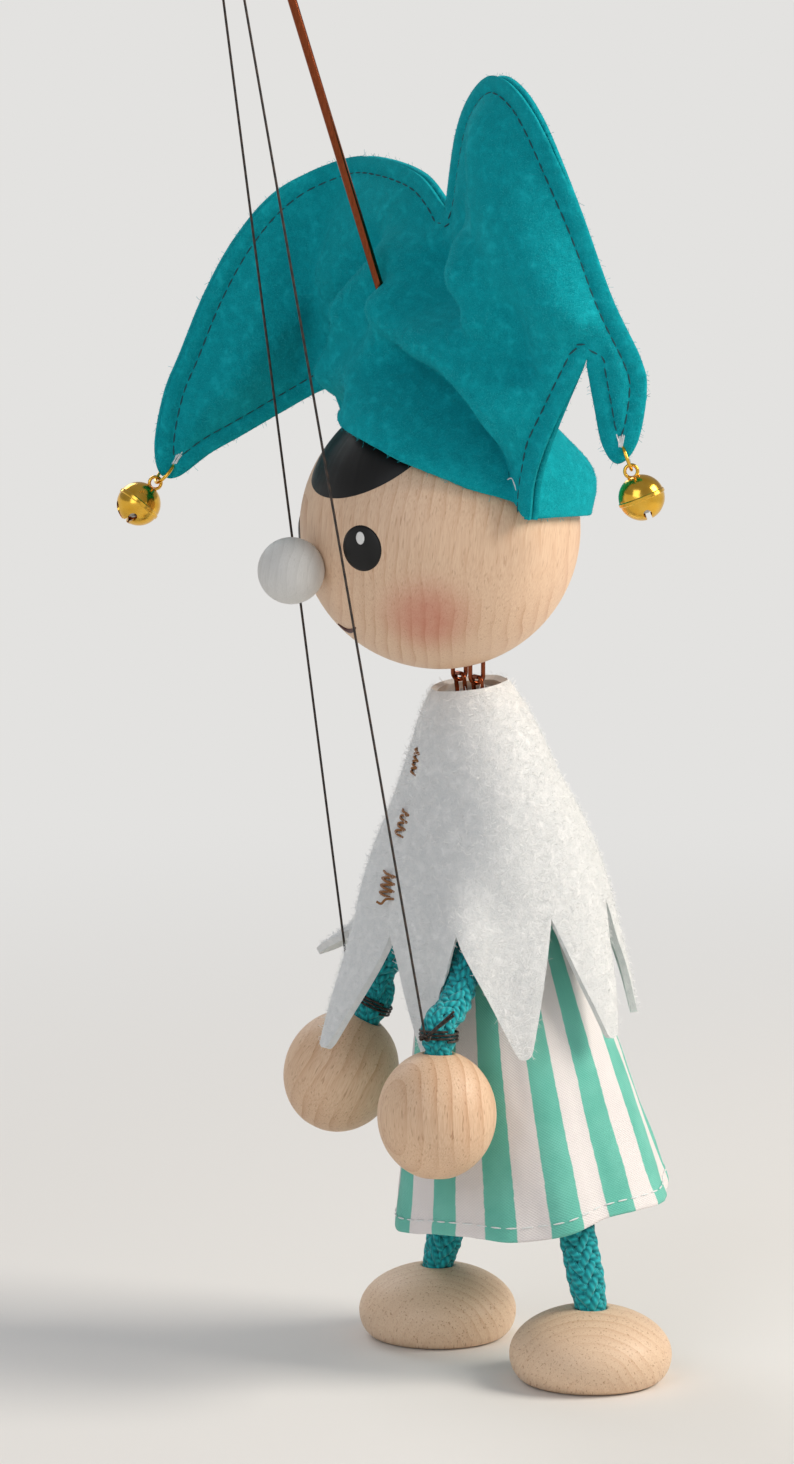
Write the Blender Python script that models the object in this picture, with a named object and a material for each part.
"""Jester marionette: a string puppet of turned beech, felt, cotton and cord, hung from a control bar.

Metres, +Z up, the face looks along -Y and the puppet's left is +X. The origin is on the flat top of the
control bar, over the head rod. The places below are measured from the neck, where the torso's wire hooks
hang in the head's wire eyes, unless a comment says otherwise.
"""
import math

import bmesh
import bpy
import numpy as np
from mathutils import Matrix, Vector
from mathutils.geometry import delaunay_2d_cdt

# Fits
CLEARANCE = 0.0003
WIRE_PLAY = 0.0003

# Head, nose and rod
HEAD_DIAMETER = 0.050
HEAD_TILT = math.radians(12.0)
HEAD_FORWARD = 0.0057
NECK_DROP = 0.0023
HEAD_FLAT_DIAMETER = 0.0124
NOSE_DIAMETER = 0.0118
NOSE_STANDOFF = 0.0051
NOSE_PEG_DIAMETER = 0.003
NOSE_PEG_LENGTH = 0.009
ROD_DIAMETER = 0.0016
ROD_LEAN = math.radians(18.8)
ROD_AHEAD = 0.0025
ROD_DEPTH_IN_HEAD = 0.016

# Control bar
CONTROL_RISE = 0.126
CONTROL_FRONT = 0.018
CONTROL_BACK = 0.030
CONTROL_WIDTH = 0.016
CONTROL_HEIGHT = 0.009
CONTROL_EDGE = 0.002
ROD_DEPTH_IN_CONTROL = 0.0065
STRING_SPACING = 0.008
STRING_AHEAD = 0.010
STRING_HOLE_DIAMETER = 0.0024
KNOT_GROOVE_WIDTH = 0.004
KNOT_GROOVE_DEPTH = 0.003
TOP_KNOT_DIAMETER = 0.0027

# Neck wires
NECK_WIRE_DIAMETER = 0.0008
NECK_EYE_SPACING = 0.0066
NECK_EYE_WIDTH = 0.0026
NECK_EYE_DEPTH = 0.005
NECK_HOOK_WIDTH = 0.0032
NECK_HOOK_DEPTH = 0.005

# Torso block, cape and skirt, all turned about an axis that leans back from the neck
TORSO_LEAN = math.radians(7.9)
TORSO_TOP_DROP = 0.004
TORSO_SHOULDER_DROP = 0.009
TORSO_WAIST_DIAMETER = 0.0176
TORSO_BASE_DIAMETER = 0.026
TORSO_LENGTH = 0.058
TORSO_BASE_HEIGHT = 0.008
TORSO_EDGE = 0.002
TORSO_WAIST_RISE = 0.010
TORSO_WAIST_FALL = 0.006
CAPE_TOP_DROP = 0.0015
CAPE_NECK_DIAMETER = 0.014
CAPE_SPREAD = 0.0175
CAPE_FALL = 0.026
CAPE_NOTCH_DROP = 0.042
CAPE_POINT_LENGTH = 0.027
CAPE_THICKNESS = 0.0012
CAPE_POINTS = 8
CAPE_LIFTS = {6: math.radians(68.0), 7: math.radians(22.0)}
CAPE_BEND_LENGTH = 0.005
CAPE_LIFT_TURN = math.radians(3.0)
SKIRT_TOP_DROP = 0.034
SKIRT_HEM_DROP = 0.098
SKIRT_HEM_DIAMETER = 0.050
SKIRT_THICKNESS = 0.0008

# Arms and hands. A tuck is where the cord passes under the cape, seen from the torso's leaning axis.
ARM_CORD_DIAMETER = 0.006
ARM_HOLE_DROP = 0.027
ARM_BORE_DEPTH = 0.005
LEFT_ARM_TUCK = Vector((0.0127, -0.0104, -0.042))
LEFT_ARM_PIVOT = Vector((0.0169, -0.0113, -0.0556))
LEFT_WRIST = Vector((0.0192, -0.0159, -0.0620))
LEFT_HAND = Vector((0.0196, -0.01645, -0.0750))
RIGHT_ARM_TUCK = Vector((-0.0160, -0.0035, -0.044))
RIGHT_ARM_PIVOT = Vector((-0.0245, -0.0045, -0.0560))
RIGHT_WRIST = Vector((-0.0256, -0.0063, -0.0640))
RIGHT_HAND = Vector((-0.0286, -0.0112, -0.0760))
HAND_DIAMETER = 0.0210
HAND_LENGTH = 0.0224
HAND_BORE_DIAMETER = 0.0050
HAND_LIP = 0.0005
HAND_CORD_END = 0.004
HAND_CORD_NECK = 0.002
WRIST_STRAIGHT = 0.003
ARM_CORD_STRAIGHT = 0.0005
ARM_CORD_OUT = 0.0043
WRAP_OVER_HAND = 0.003
WRAP_THREAD_DIAMETER = 0.0008
KNOT_DIAMETER = 0.0014
LEFT_KNOT_SIDE = Vector((0.57, -0.82, 0))
RIGHT_KNOT_SIDE = Vector((-0.15, -0.99, 0))
STRING_DIAMETER = 0.0006

# Legs and feet
LEG_CORD_DIAMETER = 0.007
HIP_SPACING = 0.013
HIP_BORE_DEPTH = 0.006
HIP_CORD_STRAIGHT = 0.003
LEFT_HIP_PIVOT = Vector((0.0130, 0.0108, -0.0790))
RIGHT_HIP_PIVOT = Vector((-0.0130, 0.0108, -0.0790))
FLOOR_DROP = 0.126
LEFT_FOOT_PLACE = (0.0210, 0.0140)
RIGHT_FOOT_PLACE = (-0.0210, 0.0050)
FOOT_DIAMETER = 0.0292
FOOT_HEIGHT = 0.0135
FOOT_BELT_HEIGHT = 0.0049
FOOT_SOLE_DIAMETER = 0.022
FOOT_BORE_DIAMETER = 0.0058
FOOT_BORE_DEPTH = 0.0065
FOOT_CORD_NECK = 0.0012

# Felt hat: two panels of one pattern, sewn along their outline. The pattern is cut for a 50 mm head and
# graded to the head: x runs along the seam from the right horn to the left, y is the height over the
# head's centre. The seam runs straight over both ears, then turns forward with the right horn and back
# with the left.
HAT_PATTERN_HEAD = 0.050
HAT_THICKNESS = 0.0010
HAT_SEAM_WIDTH = 0.0027
HAT_FULLNESS = 0.42
HAT_TURN = math.radians(5.0)
HORN_BEND_START = 0.027
HORN_BEND_RADIUS = 0.012
RIGHT_HORN_BEND = math.radians(75.0)
LEFT_HORN_BEND = math.radians(55.0)
HAT_MESH_STEP = 0.0048
HAT_SEAM_POINTS = (
    (0.0290, 0.0010), (0.0310, 0.0130), (0.0395, 0.0320), (0.0410, 0.0240), (0.0425, 0.0170),
    (0.0450, 0.0140), (0.0480, 0.0175), (0.0495, 0.0260), (0.0485, 0.0315), (0.0435, 0.0420),
    (0.0378, 0.0575), (0.0310, 0.0715), (0.0246, 0.0775), (0.0175, 0.0795), (0.0110, 0.0760),
    (0.0065, 0.0690), (0.0033, 0.0560), (-0.0066, 0.0625), (-0.0230, 0.0652), (-0.0345, 0.0636),
    (-0.0443, 0.0586), (-0.0517, 0.0505), (-0.0574, 0.0407), (-0.0620, 0.0300), (-0.0650, 0.0229),
    (-0.0668, 0.0139), (-0.0660, 0.0085), (-0.0632, 0.0080), (-0.0574, 0.0120), (-0.0517, 0.0150),
    (-0.0443, 0.0190), (-0.0385, 0.0220), (-0.0335, 0.0245), (-0.0292, 0.0160),
)
HAT_FRONT_BRIM = ((-0.0150, 0.0190), (0.0, 0.0160), (0.0150, 0.0110))
HAT_BACK_BRIM = ((-0.0150, 0.0080), (0.0, 0.0035), (0.0150, 0.0005))
HAT_CREASES = (0, 2, 16, 32)

# Bells on the horn tips
BELL_DIAMETER = 0.0080
BELL_WALL = 0.0005
BELL_SLOT = 0.0009
BELL_LOOP_DIAMETER = 0.0022
BELL_LOOP_WIRE = 0.0006
BELL_PELLET_DIAMETER = 0.0026
RING_DIAMETER = 0.0046
RING_WIRE = 0.0006
RING_HOLE_DIAMETER = 0.0019
RIGHT_RING_PLACE = (-0.0642, 0.0102)
LEFT_RING_PLACE = (0.0454, 0.0168)
RIGHT_BELL_TILT = math.radians(40.0)
LEFT_BELL_TILT = math.radians(-22.0)

# Values that follow
HEAD_RADIUS = HEAD_DIAMETER / 2
HEAD_FACE = Vector((0, -math.cos(HEAD_TILT), -math.sin(HEAD_TILT)))
HEAD_FLAT_OFFSET = math.sqrt(HEAD_RADIUS ** 2 - (HEAD_FLAT_DIAMETER / 2) ** 2)
HEAD_CENTRE = Vector((0, -HEAD_FORWARD, NECK_DROP + HEAD_FLAT_OFFSET))
ROD_AXIS = Vector((0, -math.sin(ROD_LEAN), math.cos(ROD_LEAN)))
ROD_SIDE = Vector((0, -math.cos(ROD_LEAN), -math.sin(ROD_LEAN)))
ROD_FOOT = HEAD_CENTRE - ROD_SIDE * ROD_AHEAD + ROD_AXIS * (HEAD_RADIUS - ROD_DEPTH_IN_HEAD)
CONTROL_SEAT = ROD_FOOT + ROD_AXIS * ((CONTROL_RISE - ROD_FOOT.z) / ROD_AXIS.z)
CONTROL_TOP = CONTROL_SEAT + ROD_AXIS * CONTROL_HEIGHT
HAT_GRADE = HEAD_DIAMETER / HAT_PATTERN_HEAD
HAT_HEAD_RADIUS = HEAD_RADIUS + 2 * CLEARANCE


def linear(hex_colour):
    """The linear colour of an sRGB hex value."""
    values = [int(hex_colour[i:i + 2], 16) / 255 for i in (0, 2, 4)]
    return [v / 12.92 if v <= 0.04045 else ((v + 0.055) / 1.055) ** 2.4 for v in values] + [1.0]


def finish(name, hex_colour, roughness, metallic=0.0):
    """A Principled material with one colour."""
    material = bpy.data.materials.new(name)
    material.use_nodes = True
    shader = material.node_tree.nodes["Principled BSDF"]
    shader.inputs["Base Color"].default_value = linear(hex_colour)
    shader.inputs["Roughness"].default_value = roughness
    shader.inputs["Metallic"].default_value = metallic
    return material


def empty(name, location, parent=None, rotation=None):
    """A frame that pieces hang on."""
    frame = bpy.data.objects.new(name, None)
    frame.location = location
    frame.parent = parent
    if rotation is not None:
        frame.rotation_euler = rotation.to_euler()
    bpy.context.collection.objects.link(frame)
    return frame


def add_mesh(name, mesh, parent, material=None, pivot=Vector()):
    """A mesh modelled in its frame, with the object's origin on its pivot."""
    mesh.transform(Matrix.Translation(-pivot))
    if material is not None:
        mesh.materials.append(material)
    mesh.shade_smooth()
    mesh.set_sharp_from_angle(angle=math.radians(40))
    piece = bpy.data.objects.new(name, mesh)
    piece.location = pivot
    piece.parent = parent
    bpy.context.collection.objects.link(piece)
    return piece


def turned(name, profile, sides, closed=False):
    """A mesh turned about Z. The profile of (radius, height) runs down the outer side, top to bottom, from
    axis to axis, or round a closed loop."""
    shape = bmesh.new()
    rings = []
    for radius, height in profile:
        if radius == 0:
            rings.append([shape.verts.new((0, 0, height))])
            continue
        turns = [2 * math.pi * k / sides for k in range(sides)]
        rings.append([shape.verts.new((radius * math.cos(t), radius * math.sin(t), height)) for t in turns])
    pairs = list(zip(rings, rings[1:]))
    if closed:
        pairs.append((rings[-1], rings[0]))
    for upper, lower in pairs:
        for k in range(sides):
            after = (k + 1) % sides
            corners = [upper[k % len(upper)], lower[k % len(lower)]]
            if len(lower) > 1:
                corners.append(lower[after])
            if len(upper) > 1:
                corners.append(upper[after])
            shape.faces.new(corners)
    mesh = bpy.data.meshes.new(name)
    shape.to_mesh(mesh)
    shape.free()
    return mesh


def arc(radius, start, end, steps, centre=(0.0, 0.0)):
    """Points (radius, height) on an arc, by angles from the equator in degrees."""
    turns = [math.radians(start + (end - start) * k / steps) for k in range(steps + 1)]
    return [(centre[0] + radius * math.cos(t), centre[1] + radius * math.sin(t)) for t in turns]


def ball(name, radius, sides, rings):
    """A turned ball."""
    middle = arc(radius, 90, -90, rings)[1:-1]
    return turned(name, [(0, radius)] + middle + [(0, -radius)], sides)


def smooth_route(points, count):
    """Points on a smooth curve through the route's own points."""
    knots = [Vector(p) for p in points]
    knots = [2 * knots[0] - knots[1]] + knots + [2 * knots[-1] - knots[-2]]
    route = []
    spans = len(knots) - 3
    for step in range(count + 1):
        place = min(step * spans / count, spans - 1e-6)
        k = int(place)
        t = place - k
        a, b, c, d = knots[k:k + 4]
        route.append(0.5 * (2 * b + (c - a) * t + (2 * a - 5 * b + 4 * c - d) * t * t
                            + (3 * b - a - 3 * c + d) * t ** 3))
    return route


def tube(name, points, diameter, parent, material=None, pivot=Vector(), sides=8, closed=False, taper=None):
    """A cord or wire: a bevelled curve through points, tapered by a factor for each point."""
    curve = bpy.data.curves.new(name, "CURVE")
    curve.dimensions = "3D"
    curve.bevel_depth = diameter / 2
    curve.bevel_resolution = (sides - 4) // 2
    curve.use_fill_caps = True
    spline = curve.splines.new("POLY")
    spline.points.add(len(points) - 1)
    spline.use_cyclic_u = closed
    for k, point in enumerate(points):
        spline.points[k].co = (*(Vector(point) - pivot), 1)
        spline.points[k].radius = taper[k] if taper else 1.0
    if material is not None:
        curve.materials.append(material)
    piece = bpy.data.objects.new(name, curve)
    piece.location = pivot
    piece.parent = parent
    bpy.context.collection.objects.link(piece)
    return piece


def meshed(piece):
    """The same piece as a plain mesh object."""
    bpy.context.view_layer.update()
    evaluated = piece.evaluated_get(bpy.context.evaluated_depsgraph_get())
    mesh = bpy.data.meshes.new_from_object(evaluated)
    shape = bmesh.new()
    shape.from_mesh(mesh)
    bmesh.ops.remove_doubles(shape, verts=shape.verts, dist=1e-7)
    bmesh.ops.recalc_face_normals(shape, faces=shape.faces)
    shape.to_mesh(mesh)
    shape.free()
    solid = bpy.data.objects.new(piece.name, mesh)
    solid.location = piece.location
    solid.parent = piece.parent
    curve = piece.data
    bpy.data.objects.remove(piece)
    bpy.data.curves.remove(curve)
    bpy.context.collection.objects.link(solid)
    return solid


def cut(piece, cutter, operation="DIFFERENCE"):
    """Cut a piece with a hidden cutter, or join the two."""
    cutter.hide_render = True
    cutter.display_type = "WIRE"
    modifier = piece.modifiers.new(cutter.name, "BOOLEAN")
    modifier.operation = operation
    modifier.solver = "EXACT"
    modifier.object = cutter


def drill(piece, name, start, end, diameter, sides=16):
    """A straight hole between two places in the piece's parent frame."""
    cutter = tube(name, [start, end], diameter, piece.parent, sides=sides)
    cut(piece, meshed(cutter))


def box_mesh(name, size, centre):
    """A box with its sides along the axes of its frame."""
    shape = bmesh.new()
    bmesh.ops.create_cube(shape, size=1.0)
    bmesh.ops.scale(shape, vec=size, verts=shape.verts)
    bmesh.ops.translate(shape, vec=centre, verts=shape.verts)
    mesh = bpy.data.meshes.new(name)
    shape.to_mesh(mesh)
    shape.free()
    return mesh


def smooth_outline(points, creases, spacing):
    """A closed run of points resampled along smooth curves, sharp at the creases."""
    dense = []
    for start, end in zip(creases, creases[1:]):
        run = [Vector((x, y, 0)) for x, y in points[start:end + 1]]
        reach = sum((b - a).length for a, b in zip(run, run[1:]))
        steps = max(2, round(reach / spacing))
        dense += [(p.x, p.y) for p in smooth_route(run, steps)[:-1]]
    return dense


def seam_place(along):
    """The seam's place in plan, from the head's centre, and its direction, at a length along it."""
    side = 1 if along >= 0 else -1
    reach = abs(along)
    start = HORN_BEND_START * HAT_GRADE
    radius = HORN_BEND_RADIUS * HAT_GRADE
    bend = LEFT_HORN_BEND if side > 0 else RIGHT_HORN_BEND
    angle = min(max((reach - start) / radius, 0), bend)
    straight = min(reach, start)
    beyond = max(reach - start - bend * radius, 0)
    x = straight + radius * math.sin(angle) + beyond * math.cos(angle)
    y = radius * (1 - math.cos(angle)) + beyond * math.sin(angle)
    turn = Matrix.Rotation(HAT_TURN, 2)
    place = turn @ Vector((x * side, y * side))
    heading = turn @ Vector((math.cos(angle), math.sin(angle)))
    return place, heading


def hat_point(along, height, out):
    """A place on the hat, from the neck: along the seam, above the head's centre, out to the front."""
    place, heading = seam_place(along)
    front = Vector((heading.y, -heading.x))
    spot = place + front * out
    return HEAD_CENTRE + Vector((spot.x, spot.y, height))


def distance_to_run(points, run):
    """Each point's distance to an open run of straight pieces."""
    nearest = np.full(len(points), np.inf)
    for a, b in zip(run[:-1], run[1:]):
        edge = b - a
        share = np.clip((points - a) @ edge / (edge @ edge), 0, 1)
        nearest = np.minimum(nearest, np.linalg.norm(points - a - share[:, None] * edge, axis=1))
    return nearest


def inside(points, outline):
    """Which points are inside a closed outline."""
    within = np.zeros(len(points), bool)
    for a, b in zip(outline, np.roll(outline, -1, axis=0)):
        crosses = (a[1] > points[:, 1]) != (b[1] > points[:, 1])
        rise = b[1] - a[1] if b[1] != a[1] else 1e-12
        within ^= crosses & (points[:, 0] < (b[0] - a[0]) * (points[:, 1] - a[1]) / rise + a[0])
    return within


def hat_panel(name, brim, side):
    """One felt panel: its flat pattern, filled out over head and horns, at the felt's thickness."""
    seam = [(x * HAT_GRADE, y * HAT_GRADE) for x, y in HAT_SEAM_POINTS]
    brim = [(x * HAT_GRADE, y * HAT_GRADE) for x, y in brim]
    seam_run = smooth_outline(seam, HAT_CREASES + (len(seam) - 1,), HAT_MESH_STEP * HAT_GRADE)
    brim_points = [seam[-1]] + brim + [seam[0]]
    brim_run = smooth_outline(brim_points, (0, len(brim_points) - 1), HAT_MESH_STEP * HAT_GRADE)
    outline = np.array(seam_run + brim_run)
    seamed = np.array(seam_run + [seam[-1]])
    columns = [HAT_HEAD_RADIUS * math.sin(math.radians(a)) for a in range(-80, 81, 10)]
    span, height = np.abs(HAT_SEAM_POINTS).max(axis=0)
    reach = np.arange(HORN_BEND_START, span, HAT_MESH_STEP) * HAT_GRADE
    columns = sorted(columns + list(reach) + list(-reach))
    rows = np.arange(HAT_THICKNESS, height, HAT_MESH_STEP) * HAT_GRADE
    grid = np.array([(x, y) for x in columns for y in rows])
    clear = distance_to_run(grid, np.vstack([outline, outline[:1]])) > HAT_MESH_STEP * 0.45 * HAT_GRADE
    grid = grid[clear & inside(grid, outline)]
    flat = [Vector(p) for p in np.vstack([outline, grid])]
    edges = [(k, (k + 1) % len(outline)) for k in range(len(outline))]
    flat, _, faces, _, _, _ = delaunay_2d_cdt(flat, edges, [], 2, 1e-9)
    flat = np.array([tuple(p) for p in flat])
    over_head = np.sqrt(np.maximum(HAT_HEAD_RADIUS ** 2 - (flat ** 2).sum(axis=1), 0))
    from_seam = distance_to_run(flat, seamed) - HAT_SEAM_WIDTH * HAT_GRADE
    filled = HAT_FULLNESS * np.maximum(from_seam, 0)
    out = (over_head ** 3 + filled ** 3) ** (1 / 3) + CLEARANCE / 2
    shape = bmesh.new()
    inner = [shape.verts.new(hat_point(x, y, side * o)) for (x, y), o in zip(flat, out)]
    for face in faces:
        shape.faces.new([inner[k] for k in face])
    bmesh.ops.recalc_face_normals(shape, faces=shape.faces)
    shape.normal_update()
    _, heading = seam_place(0)
    front = Vector((heading.y, -heading.x, 0)) * side
    middle = min(inner, key=lambda v: (v.co - hat_point(0, height / 2 * HAT_GRADE, 0)).length)
    sense = 1 if middle.normal.dot(front) > 0 else -1
    outer = [shape.verts.new(v.co + v.normal * sense * HAT_THICKNESS) for v in inner]
    shape.verts.index_update()
    rim = [e for e in shape.edges if len(e.link_faces) == 1]
    partner = dict(zip(inner, outer))
    for face in list(shape.faces):
        shape.faces.new([partner[v] for v in reversed(face.verts)])
    for edge in rim:
        a, b = edge.verts
        shape.faces.new([a, b, partner[b], partner[a]])
    bmesh.ops.recalc_face_normals(shape, faces=shape.faces)
    mesh = bpy.data.meshes.new(name)
    shape.to_mesh(mesh)
    shape.free()
    return mesh


def cape_radius(drop):
    """The cape's outer radius at a drop below the neck."""
    return CAPE_NECK_DIAMETER / 2 + CAPE_SPREAD * (1 - math.exp(-(drop - CAPE_TOP_DROP) / CAPE_FALL))


def cape_spot(drop, lift, inset):
    """The radius and height of a place on the cape's skin, by its length below the neck's level."""
    over = max(drop - CAPE_NOTCH_DROP, 0) if lift else 0
    hang = drop - over
    step = CAPE_THICKNESS
    slope = math.atan((cape_radius(hang + step) - cape_radius(hang)) / step)
    bent = min(over, CAPE_BEND_LENGTH)
    mean = slope + lift * bent / CAPE_BEND_LENGTH / 2
    last = slope + lift * bent / CAPE_BEND_LENGTH
    radius = cape_radius(hang) + bent * math.sin(mean) + (over - bent) * math.sin(last)
    height = -hang - bent * math.cos(mean) - (over - bent) * math.cos(last)
    return radius - inset * math.cos(last), height - inset * math.sin(last)


def cape_mesh(name):
    """The felt cape: a bell-shaped cone whose lower edge runs in points, two of them lifted by the arm."""
    columns = CAPE_POINTS * 4
    rows = 8
    shape = bmesh.new()
    skins = []
    for inset in (0, CAPE_THICKNESS):
        skin = []
        for k in range(columns):
            share = 1 - abs((k % 4) - 2) / 2
            lift = CAPE_LIFTS.get(k // 4, 0.0) if share else 0.0
            turn = 2 * math.pi * k / columns
            edge = CAPE_NOTCH_DROP + CAPE_POINT_LENGTH * share
            ring = []
            for row in range(rows + 1):
                drop = CAPE_TOP_DROP + (edge - CAPE_TOP_DROP) * row / rows
                radius, height = cape_spot(drop, lift, inset)
                over = max(drop - CAPE_NOTCH_DROP, 0) if lift else 0
                swing = turn + CAPE_LIFT_TURN * over / CAPE_POINT_LENGTH
                ring.append(shape.verts.new((radius * math.sin(swing), -radius * math.cos(swing), height)))
            skin.append(ring)
        skins.append(skin)
    for k in range(columns):
        after = (k + 1) % columns
        outer, outer_next = skins[0][k], skins[0][after]
        inner, inner_next = skins[1][k], skins[1][after]
        for row in range(rows):
            shape.faces.new([outer[row], outer_next[row], outer_next[row + 1], outer[row + 1]])
            shape.faces.new([inner[row], inner[row + 1], inner_next[row + 1], inner_next[row]])
        shape.faces.new([outer[0], inner[0], inner_next[0], outer_next[0]])
        shape.faces.new([outer[rows], outer_next[rows], inner_next[rows], inner[rows]])
    bmesh.ops.recalc_face_normals(shape, faces=shape.faces)
    mesh = bpy.data.meshes.new(name)
    shape.to_mesh(mesh)
    shape.free()
    return mesh


def in_torso(x, y, z):
    """A place given on the torso's leaning axis, seen from the neck."""
    return Matrix.Rotation(TORSO_LEAN, 3, "X") @ Vector((x, y, z))


def rounded_end(route, diameter):
    """A route and its taper with a half-round end at its first point, for a cord that bends there."""
    radius = diameter / 2
    back = (route[0] - route[1]).normalized()
    cap = [math.radians(a) for a in (80, 60, 38, 18)]
    points = [route[0] + back * radius * math.sin(a) for a in cap] + list(route)
    return points, [math.cos(a) for a in cap] + [1.0] * len(route)


def clear_scene():
    """An empty scene to model in."""
    for item in list(bpy.data.objects):
        bpy.data.objects.remove(item, do_unlink=True)


def build_control(figure):
    """The beech control bar, the copper-plated rod pressed into it, and the string knots in its groove."""
    beech = finish("control_beech", "d9b48c", 0.55)
    bar_frame = empty("control_frame", CONTROL_SEAT, figure, Matrix.Rotation(ROD_LEAN, 3, "X"))
    length = CONTROL_FRONT + CONTROL_BACK
    centre = (0, (CONTROL_BACK - CONTROL_FRONT) / 2, CONTROL_HEIGHT / 2)
    mesh = box_mesh("control_bar", (CONTROL_WIDTH, length, CONTROL_HEIGHT), centre)
    shape = bmesh.new()
    shape.from_mesh(mesh)
    bmesh.ops.bevel(shape, geom=shape.edges[:], offset=CONTROL_EDGE, segments=3, affect="EDGES", profile=0.5)
    shape.to_mesh(mesh)
    shape.free()
    bar = add_mesh("control_bar", mesh, bar_frame, beech)
    rod_bore = ROD_DIAMETER + 2 * CLEARANCE
    drill(bar, "control_rod_hole", (0, 0, -CLEARANCE), (0, 0, ROD_DEPTH_IN_CONTROL + CLEARANCE), rod_bore)
    for side in (1, -1):
        spot = Vector((side * STRING_SPACING / 2, -STRING_AHEAD, 0))
        top = spot + Vector((0, 0, CONTROL_HEIGHT))
        under = spot - Vector((0, 0, CLEARANCE))
        drill(bar, f"control_string_hole_{side}", under, top, STRING_HOLE_DIAMETER, 12)
    groove_size = (CONTROL_WIDTH * 2, KNOT_GROOVE_WIDTH, KNOT_GROOVE_DEPTH * 2)
    groove = box_mesh("control_groove", groove_size, (0, -STRING_AHEAD, CONTROL_HEIGHT))
    cut(bar, add_mesh("control_groove", groove, bar_frame))
    thread = finish("top_knot_thread", "1b1410", 0.8)
    for name, side in (("left_top_knot", 1), ("right_top_knot", -1)):
        knot = ball(name, TOP_KNOT_DIAMETER / 2, 10, 8)
        lip = CONTROL_HEIGHT - KNOT_GROOVE_DEPTH
        sink = math.sqrt(TOP_KNOT_DIAMETER ** 2 - STRING_HOLE_DIAMETER ** 2) / 2
        seat = Vector((side * STRING_SPACING / 2, -STRING_AHEAD, lip + sink + CLEARANCE))
        knot.transform(Matrix.Translation(seat))
        add_mesh(name, knot, bar_frame, thread, seat)
    copper = finish("rod_copper", "b8683c", 0.3, 1.0)
    top = CONTROL_SEAT + ROD_AXIS * ROD_DEPTH_IN_CONTROL
    tube("head_rod", [ROD_FOOT, top], ROD_DIAMETER, figure, copper, sides=12)


def build_head(figure):
    """The turned beech head, bored for the rod, the nose peg and the neck eyes, and the pegged nose."""
    beech = finish("head_beech", "dcb993", 0.5)
    tilt = Matrix.Rotation(HEAD_TILT, 3, "X")
    top = 90
    bottom = -math.degrees(math.asin(HEAD_FLAT_OFFSET / HEAD_RADIUS))
    profile = [(0, HEAD_RADIUS)] + arc(HEAD_RADIUS, top, bottom, 18)[1:] + [(0, -HEAD_FLAT_OFFSET)]
    mesh = turned("head", profile, 28)
    mesh.transform(Matrix.Translation(HEAD_CENTRE) @ tilt.to_4x4())
    head = add_mesh("head", mesh, figure, beech)
    rod_bore = ROD_DIAMETER + 2 * CLEARANCE
    rod_end = ROD_FOOT - ROD_AXIS * CLEARANCE
    drill(head, "head_rod_hole", rod_end, ROD_FOOT + ROD_AXIS * HEAD_RADIUS, rod_bore)
    nose_centre = HEAD_CENTRE + HEAD_FACE * (HEAD_RADIUS + NOSE_STANDOFF)
    peg_middle = HEAD_CENTRE + HEAD_FACE * (HEAD_RADIUS + NOSE_STANDOFF / 2 - NOSE_DIAMETER / 8)
    peg_half = HEAD_FACE * NOSE_PEG_LENGTH / 2
    gap = HEAD_FACE * CLEARANCE
    peg_bore = NOSE_PEG_DIAMETER + 2 * CLEARANCE
    drill(head, "head_peg_hole", peg_middle - peg_half - gap, nose_centre, peg_bore)
    paint = finish("nose_grey_paint", "c4c3bf", 0.45)
    nose_mesh = ball("nose", NOSE_DIAMETER / 2, 20, 12)
    nose_mesh.transform(Matrix.Translation(nose_centre) @ tilt.to_4x4())
    nose = add_mesh("nose", nose_mesh, figure, paint)
    seat = ball("nose_seat", HEAD_RADIUS + CLEARANCE, 28, 18)
    seat.transform(Matrix.Translation(HEAD_CENTRE) @ tilt.to_4x4())
    cut(nose, add_mesh("nose_seat", seat, figure))
    drill(nose, "nose_peg_hole", HEAD_CENTRE, peg_middle + peg_half + gap, peg_bore)
    tube("nose_peg", [peg_middle - peg_half, peg_middle + peg_half], NOSE_PEG_DIAMETER, figure,
         finish("nose_peg_birch", "d8bd97", 0.6), sides=12)
    return head


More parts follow.
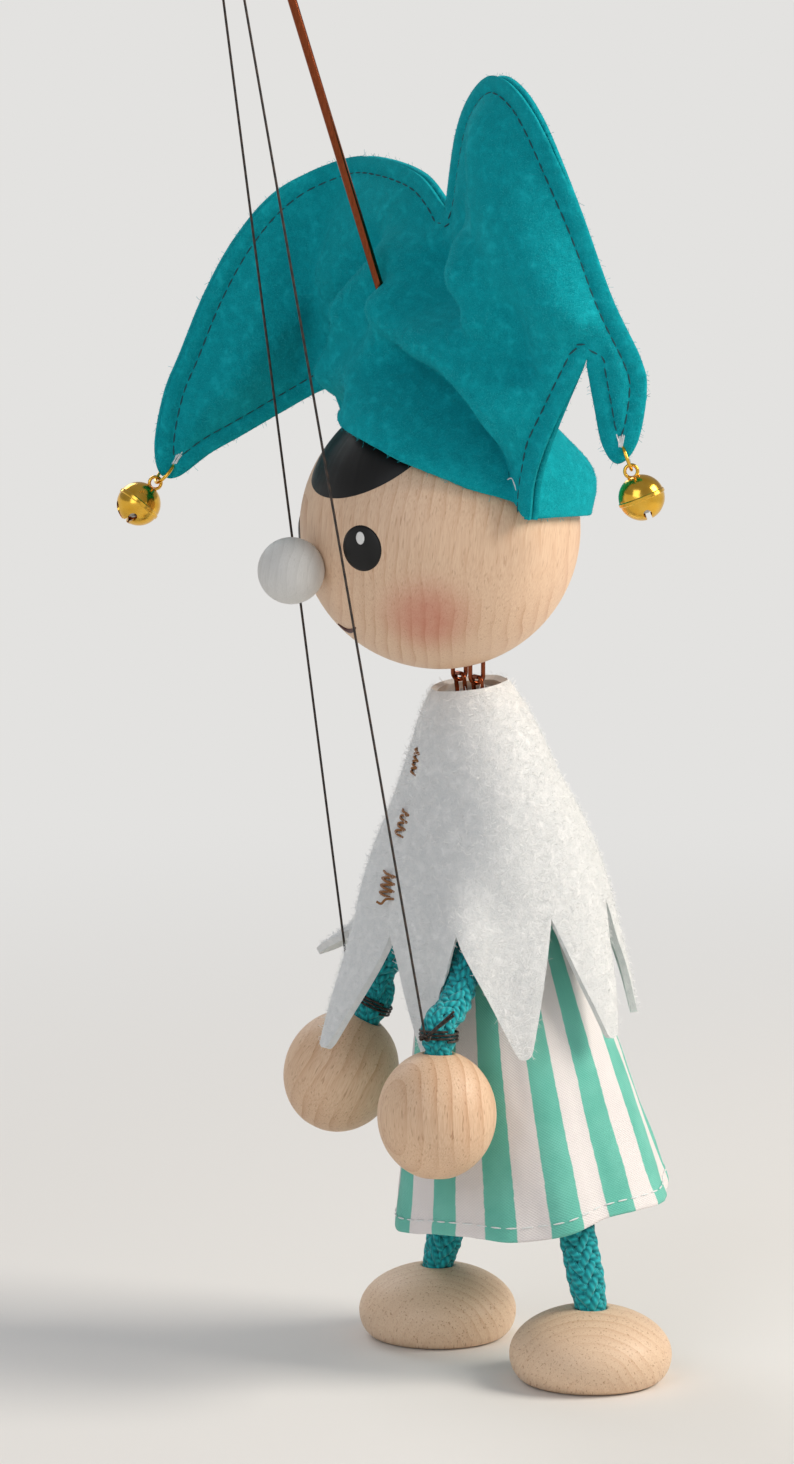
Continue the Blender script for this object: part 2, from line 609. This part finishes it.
def build_neck(figure, torso, head):
    """Two wire eyes under the head, and two hooks on the torso whose top wires hang in them."""
    copper = finish("neck_copper", "b8683c", 0.3, 1.0)
    wire = NECK_WIRE_DIAMETER
    hang = -(wire + WIRE_PLAY)
    flat_height = HEAD_CENTRE.z - HEAD_FLAT_OFFSET * math.cos(HEAD_TILT)
    top = flat_height + NECK_EYE_DEPTH
    half = NECK_EYE_WIDTH / 2
    angles = [math.radians(a) for a in range(0, -181, -20)]
    bend = [(half * math.cos(a), half * math.sin(a)) for a in angles]
    for name, side in (("left_neck_eye", 1), ("right_neck_eye", -1)):
        x = side * NECK_EYE_SPACING / 2
        ends = [Vector((x, half, top)), Vector((x, -half, top))]
        round_end = [Vector((x, y, hang + half + z)) for y, z in bend]
        tube(name, [ends[0]] + round_end + [ends[1]], wire, figure, copper)
        for k, end in enumerate(ends):
            low = Vector((x, end.y, hang + half))
            drill(head, f"{name}_hole_{k}", low, end + Vector((0, 0, CLEARANCE)), wire + 2 * CLEARANCE, 8)
    inner = NECK_HOOK_WIDTH / 2
    corner = wire
    torso_top = -TORSO_TOP_DROP
    foot = torso_top - NECK_HOOK_DEPTH
    angles = [math.radians(a) for a in range(0, 91, 30)]
    turn = [(corner * math.sin(a), corner * math.cos(a)) for a in angles]
    for name, side in (("left_neck_hook", 1), ("right_neck_hook", -1)):
        x = side * NECK_EYE_SPACING / 2
        right = [Vector((x + inner - corner + a, 0, b - corner)) for a, b in turn]
        left = [Vector((x - inner + corner - a, 0, b - corner)) for a, b in reversed(turn)]
        route = [Vector((x - inner, 0, foot))] + left + right + [Vector((x + inner, 0, foot))]
        tube(name, route, wire, torso, copper)


def build_torso(torso):
    """The turned torso block under the clothes, bored for the neck hooks and the limbs' cords."""
    beech = finish("torso_beech", "d2ac82", 0.6)
    cape_inside = cape_radius(TORSO_TOP_DROP) - CAPE_THICKNESS - 2 * CLEARANCE
    shoulder = cape_radius(TORSO_SHOULDER_DROP) - CAPE_THICKNESS - 3 * CLEARANCE
    waist = TORSO_WAIST_DIAMETER / 2
    base = TORSO_BASE_DIAMETER / 2
    bottom = -(TORSO_TOP_DROP + TORSO_LENGTH)
    shoulder = min(shoulder, waist)
    profile = [
        (0, -TORSO_TOP_DROP),
        (cape_inside * 0.9, -TORSO_TOP_DROP),
        (cape_inside, -TORSO_TOP_DROP - 2 * CLEARANCE),
        (shoulder, -TORSO_SHOULDER_DROP),
        (waist, TORSO_WAIST_RISE - SKIRT_TOP_DROP),
        (waist, -SKIRT_TOP_DROP - TORSO_WAIST_FALL),
        (base, bottom + TORSO_BASE_HEIGHT),
        (base, bottom + TORSO_EDGE),
        (base - TORSO_EDGE, bottom),
        (0, bottom),
    ]
    block = add_mesh("torso_block", turned("torso_block", profile, 28), torso, beech)
    foot = -TORSO_TOP_DROP - NECK_HOOK_DEPTH - CLEARANCE
    for side in (1, -1):
        for leg in (1, -1):
            x = side * NECK_EYE_SPACING / 2 + leg * NECK_HOOK_WIDTH / 2
            drill(block, f"hook_hole_{side}_{leg}", (x, 0, foot), (x, 0, 0),
                  NECK_WIRE_DIAMETER + 2 * CLEARANCE, 8)
        bore = ARM_CORD_DIAMETER + 2 * CLEARANCE
        inner = side * (waist - ARM_BORE_DEPTH - CLEARANCE)
        drill(block, f"arm_hole_{side}", (inner, 0, -ARM_HOLE_DROP), (side * base, 0, -ARM_HOLE_DROP), bore)
        x = side * HIP_SPACING / 2
        deep = bottom + HIP_BORE_DEPTH + CLEARANCE
        below = bottom - HIP_BORE_DEPTH
        drill(block, f"leg_hole_{side}", (x, 0, deep), (x, 0, below), LEG_CORD_DIAMETER + 2 * CLEARANCE)


def build_clothes(torso):
    """The pointed felt cape and the striped cotton skirt."""
    cape = add_mesh("cape", cape_mesh("cape"), torso, finish("cape_white_felt", "eef0f0", 0.95))
    waist = TORSO_WAIST_DIAMETER / 2 + CLEARANCE
    hem = SKIRT_HEM_DIAMETER / 2
    wall = SKIRT_THICKNESS
    drops = [SKIRT_TOP_DROP + (SKIRT_HEM_DROP - SKIRT_TOP_DROP) * k / 5 for k in range(6)]
    spread = [waist + wall + (hem - waist - wall) * (k / 5) ** 0.9 for k in range(6)]
    outer = [(r, -d) for r, d in zip(spread, drops)]
    inner = [(r - wall, -d) for r, d in zip(spread, drops)]
    skirt = turned("skirt", outer + inner[::-1], 36, closed=True)
    add_mesh("skirt", skirt, torso, finish("skirt_striped_cotton", "a9dccf", 0.9))
    return cape


def build_arm(figure, cape, side, pivot, wrist, hand):
    """One arm: the cord stretch fixed in the torso, the hanging stretch, the bead hand and its thread."""
    label = "left" if side > 0 else "right"
    teal = finish(f"{label}_arm_teal_cord", "13a5a8", 0.85)
    waist = TORSO_WAIST_DIAMETER / 2
    start = in_torso(side * (waist - ARM_BORE_DEPTH), 0, -ARM_HOLE_DROP)
    mouth = in_torso(side * (waist + ARM_CORD_STRAIGHT), 0, -ARM_HOLE_DROP)
    out = in_torso(side * (waist + ARM_CORD_OUT), 0, -ARM_HOLE_DROP - CLEARANCE)
    radius = ARM_CORD_DIAMETER / 2
    tuck = in_torso(*(LEFT_ARM_TUCK if side > 0 else RIGHT_ARM_TUCK))
    arrive = (pivot - tuck).normalized()
    stop = pivot - arrive * (radius + CLEARANCE)
    upper = smooth_route([start, mouth, out, tuck, stop], 12)
    tube(f"{label}_shoulder_cord", upper, ARM_CORD_DIAMETER, figure, teal, sides=10)
    room = ARM_CORD_DIAMETER + 3 * CLEARANCE
    passage = tube(f"{label}_arm_passage", upper + [pivot], room, figure, sides=12)
    cut(cape, meshed(passage))
    bore_axis = (wrist - hand).normalized()
    bead_top = hand + bore_axis * HAND_LENGTH / 2
    cord_end = hand - bore_axis * (HAND_LENGTH / 2 - HAND_CORD_END)
    enter = bead_top + bore_axis * HAND_CORD_NECK
    outside = smooth_route([pivot, enter + bore_axis * WRIST_STRAIGHT, enter], 6)
    points, taper = rounded_end(outside, ARM_CORD_DIAMETER)
    squeeze = (HAND_BORE_DIAMETER - 2 * CLEARANCE) / ARM_CORD_DIAMETER
    points += [bead_top + bore_axis * CLEARANCE, hand, cord_end]
    taper += [squeeze, squeeze, squeeze]
    tube(f"{label}_arm_cord", points, ARM_CORD_DIAMETER, figure, teal, pivot, 10, taper=taper)
    bore = HAND_BORE_DIAMETER / 2
    rim = math.degrees(math.acos((bore + HAND_LIP) / (HAND_DIAMETER / 2)))
    stretch = (HAND_LENGTH / 2) / ((HAND_DIAMETER / 2) * math.sin(math.radians(rim)))
    outer = [(r, z * stretch) for r, z in arc(HAND_DIAMETER / 2, rim, -rim, 10)]
    inner = [(bore, -HAND_LENGTH / 2), (bore, HAND_LENGTH / 2)]
    mesh = turned(f"{label}_hand", outer + inner, 20, closed=True)
    aim = Vector((0, 0, 1)).rotation_difference(bore_axis).to_matrix().to_4x4()
    mesh.transform(Matrix.Translation(hand) @ aim)
    add_mesh(f"{label}_hand", mesh, figure, finish(f"{label}_hand_beech", "d3a87f", 0.55), pivot)


def build_thread(figure, side, pivot, wrist, hand):
    """The black thread round a wrist, its knot, and the string from the knot up to the control bar."""
    label = "left" if side > 0 else "right"
    thread = finish(f"{label}_thread", "1b1410", 0.8)
    bore_axis = (wrist - hand).normalized()
    centre = hand + bore_axis * (HAND_LENGTH / 2 + WRAP_OVER_HAND)
    ring_radius = ARM_CORD_DIAMETER / 2 + CLEARANCE + WRAP_THREAD_DIAMETER / 2
    aim = Vector((0, 0, 1)).rotation_difference(bore_axis).to_matrix()
    turns = [2 * math.pi * k / 18 for k in range(18)]
    ring = [centre + aim @ Vector((ring_radius * math.cos(t), ring_radius * math.sin(t), 0)) for t in turns]
    tube(f"{label}_wrist_wrap", ring, WRAP_THREAD_DIAMETER, figure, thread, pivot, 6, closed=True)
    lead = LEFT_KNOT_SIDE if side > 0 else RIGHT_KNOT_SIDE
    lead = (lead - bore_axis * lead.dot(bore_axis)).normalized()
    reach = ring_radius + WRAP_THREAD_DIAMETER / 2 + CLEARANCE + KNOT_DIAMETER / 2
    knot_place = centre + lead * reach
    knot = ball(f"{label}_wrist_knot", KNOT_DIAMETER / 2, 10, 8)
    knot.transform(Matrix.Translation(knot_place))
    add_mesh(f"{label}_wrist_knot", knot, figure, thread, pivot)
    mouth = CONTROL_SEAT + ROD_SIDE * STRING_AHEAD + Vector((side * STRING_SPACING / 2, 0, 0))
    top = mouth + ROD_AXIS * (CONTROL_HEIGHT - KNOT_GROOVE_DEPTH - TOP_KNOT_DIAMETER / 3)
    start = knot_place + (mouth - knot_place).normalized() * (KNOT_DIAMETER / 2 + CLEARANCE)
    route = [start.lerp(mouth, k / 6) for k in range(7)] + [top]
    tube(f"{label}_hand_string", route, STRING_DIAMETER, figure, thread, mouth, 8)


def build_leg(figure, side, pivot, place):
    """One leg: the cord stretch fixed in the torso, the hanging stretch, and the turned half-egg foot."""
    label = "left" if side > 0 else "right"
    teal = finish(f"{label}_leg_teal_cord", "13a5a8", 0.85)
    bottom = -(TORSO_TOP_DROP + TORSO_LENGTH)
    start = in_torso(side * HIP_SPACING / 2, 0, bottom + HIP_BORE_DEPTH)
    mouth = in_torso(side * HIP_SPACING / 2, 0, bottom)
    out = in_torso(side * HIP_SPACING / 2, 0, bottom - HIP_CORD_STRAIGHT)
    radius = LEG_CORD_DIAMETER / 2
    stop = pivot - (pivot - out).normalized() * (radius + CLEARANCE)
    upper = smooth_route([start, mouth, out, stop], 9)
    tube(f"{label}_hip_cord", upper, LEG_CORD_DIAMETER, figure, teal, sides=10)
    ankle = Vector((place[0], place[1], FOOT_HEIGHT - FLOOR_DROP))
    knee = pivot.lerp(ankle, 0.55)
    outside = smooth_route([pivot, knee, ankle + Vector((0, 0, FOOT_CORD_NECK))], 6)
    points, taper = rounded_end(outside, LEG_CORD_DIAMETER)
    squeeze = (FOOT_BORE_DIAMETER - 2 * CLEARANCE) / LEG_CORD_DIAMETER
    points += [ankle - Vector((0, 0, CLEARANCE)), ankle - Vector((0, 0, FOOT_BORE_DEPTH - CLEARANCE))]
    taper[-1] = (1 + squeeze) / 2
    taper += [squeeze, squeeze]
    tube(f"{label}_leg_cord", points, LEG_CORD_DIAMETER, figure, teal, pivot, 10, taper=taper)
    bore = FOOT_BORE_DIAMETER / 2
    wide = FOOT_DIAMETER / 2
    sole = FOOT_SOLE_DIAMETER / 2
    belt = FOOT_BELT_HEIGHT
    dome = FOOT_HEIGHT - belt
    flare = math.degrees(math.acos((bore + 2 * CLEARANCE) / wide))
    upper = [(wide * math.cos(math.radians(a)), belt + dome * math.sin(math.radians(a)))
             for a in np.linspace(flare, 0, 7)]
    lower = [(sole + (wide - sole) * math.cos(math.radians(a)), belt - belt * math.sin(math.radians(a)))
             for a in np.linspace(22.5, 90, 4)]
    rim_height = upper[0][1]
    floor_of_bore = FOOT_HEIGHT - FOOT_BORE_DEPTH
    profile = [(0, floor_of_bore), (bore, floor_of_bore), (bore, rim_height)] + upper + lower + [(0, 0)]
    mesh = turned(f"{label}_foot", profile, 24)
    mesh.transform(Matrix.Translation((place[0], place[1], -FLOOR_DROP)))
    add_mesh(f"{label}_foot", mesh, figure, finish(f"{label}_foot_beech", "d9b48c", 0.55), pivot)


def build_hat(figure):
    """The two felt panels of the hat, with the rod's hole in the front one and ring holes at the tips."""
    felt = finish("hat_teal_felt", "00808b", 0.95)
    front = add_mesh("hat_front_panel", hat_panel("hat_front_panel", HAT_FRONT_BRIM, 1), figure, felt)
    back = add_mesh("hat_back_panel", hat_panel("hat_back_panel", HAT_BACK_BRIM, -1), figure, felt)
    rod_hole = ROD_DIAMETER + 4 * CLEARANCE
    drill(front, "hat_rod_hole", ROD_FOOT, ROD_FOOT + ROD_AXIS * HEAD_DIAMETER * 1.3, rod_hole, 12)
    drill(back, "hat_rod_hole_back", ROD_FOOT, ROD_FOOT + ROD_AXIS * HEAD_DIAMETER * 1.3, rod_hole, 12)
    for label, place in (("right", RIGHT_RING_PLACE), ("left", LEFT_RING_PLACE)):
        along, height = (v * HAT_GRADE for v in place)
        ends = [hat_point(along, height, s * RING_DIAMETER) for s in (1, -1)]
        drill(front, f"{label}_ring_hole_front", ends[0], ends[1], RING_HOLE_DIAMETER, 12)
        drill(back, f"{label}_ring_hole_back", ends[0], ends[1], RING_HOLE_DIAMETER, 12)


def build_bell(figure, label, place, tilt):
    """A jingle bell: a split ring through the felt, a slotted shell with its loop, and the loose pellet."""
    gold = finish(f"{label}_bell_brass", "d9a520", 0.2, 1.0)
    along, height = (v * HAT_GRADE for v in place)
    hole = hat_point(along, height, 0)
    _, heading = seam_place(along)
    turn = Matrix(((heading.x, -heading.y, 0), (heading.y, heading.x, 0), (0, 0, 1)))
    frame = empty(f"{label}_bell_frame", hole, figure, turn @ Matrix.Rotation(tilt, 3, "Y"))
    ring_radius = RING_DIAMETER / 2
    turns = [2 * math.pi * k / 18 for k in range(18)]
    ring = [Vector((0, ring_radius * math.sin(t), -ring_radius + ring_radius * math.cos(t))) for t in turns]
    tube(f"{label}_bell_ring", ring, RING_WIRE, frame, gold, sides=6, closed=True)
    loop_radius = BELL_LOOP_DIAMETER / 2
    loop_top = -RING_DIAMETER + (RING_WIRE + BELL_LOOP_WIRE) / 2 + WIRE_PLAY
    loop_centre = loop_top - loop_radius
    bell_radius = BELL_DIAMETER / 2
    bell_centre = loop_centre - loop_radius - bell_radius + BELL_LOOP_WIRE * 0.4
    cavity = bell_radius - BELL_WALL
    shell_mesh = ball(f"{label}_bell_shell", bell_radius, 16, 10)
    shell_mesh.transform(Matrix.Translation((0, 0, bell_centre)))
    shell = add_mesh(f"{label}_bell_shell", shell_mesh, frame, gold)
    loop = [Vector((loop_radius * math.sin(t), 0, loop_centre + loop_radius * math.cos(t))) for t in turns]
    loop_wire = tube(f"{label}_bell_loop", loop, BELL_LOOP_WIRE, frame, sides=6, closed=True)
    cut(shell, meshed(loop_wire), "UNION")
    hollow_mesh = ball(f"{label}_bell_hollow", cavity, 16, 10)
    hollow_mesh.transform(Matrix.Translation((0, 0, bell_centre)))
    cut(shell, add_mesh(f"{label}_bell_hollow", hollow_mesh, frame))
    long_side = BELL_DIAMETER * 0.72
    for k, size in enumerate(((long_side, BELL_SLOT), (BELL_SLOT, long_side))):
        slot = box_mesh(f"{label}_bell_slot_{k}", (size[0], size[1], bell_radius * 1.2),
                        (0, 0, bell_centre - bell_radius))
        cut(shell, add_mesh(f"{label}_bell_slot_{k}", slot, frame))
    pellet = ball(f"{label}_bell_pellet", BELL_PELLET_DIAMETER / 2, 10, 6)
    rest = bell_centre - cavity + BELL_PELLET_DIAMETER / 2 + 2 * CLEARANCE
    pellet.transform(Matrix.Translation((0, 0, rest)))
    add_mesh(f"{label}_bell_pellet", pellet, frame, finish(f"{label}_pellet_steel", "9a9a98", 0.35, 1.0))


def build():
    """The whole marionette."""
    clear_scene()
    figure = empty("neck", -CONTROL_TOP)
    torso = empty("torso_frame", Vector(), figure, Matrix.Rotation(TORSO_LEAN, 3, "X"))
    build_control(figure)
    head = build_head(figure)
    build_neck(figure, torso, head)
    build_torso(torso)
    cape = build_clothes(torso)
    arms = ((1, LEFT_ARM_PIVOT, LEFT_WRIST, LEFT_HAND), (-1, RIGHT_ARM_PIVOT, RIGHT_WRIST, RIGHT_HAND))
    for side, pivot, wrist, hand in arms:
        build_arm(figure, cape, side, pivot, wrist, hand)
        build_thread(figure, side, pivot, wrist, hand)
    build_leg(figure, 1, LEFT_HIP_PIVOT, LEFT_FOOT_PLACE)
    build_leg(figure, -1, RIGHT_HIP_PIVOT, RIGHT_FOOT_PLACE)
    build_hat(figure)
    build_bell(figure, "right", RIGHT_RING_PLACE, RIGHT_BELL_TILT)
    build_bell(figure, "left", LEFT_RING_PLACE, LEFT_BELL_TILT)


build()
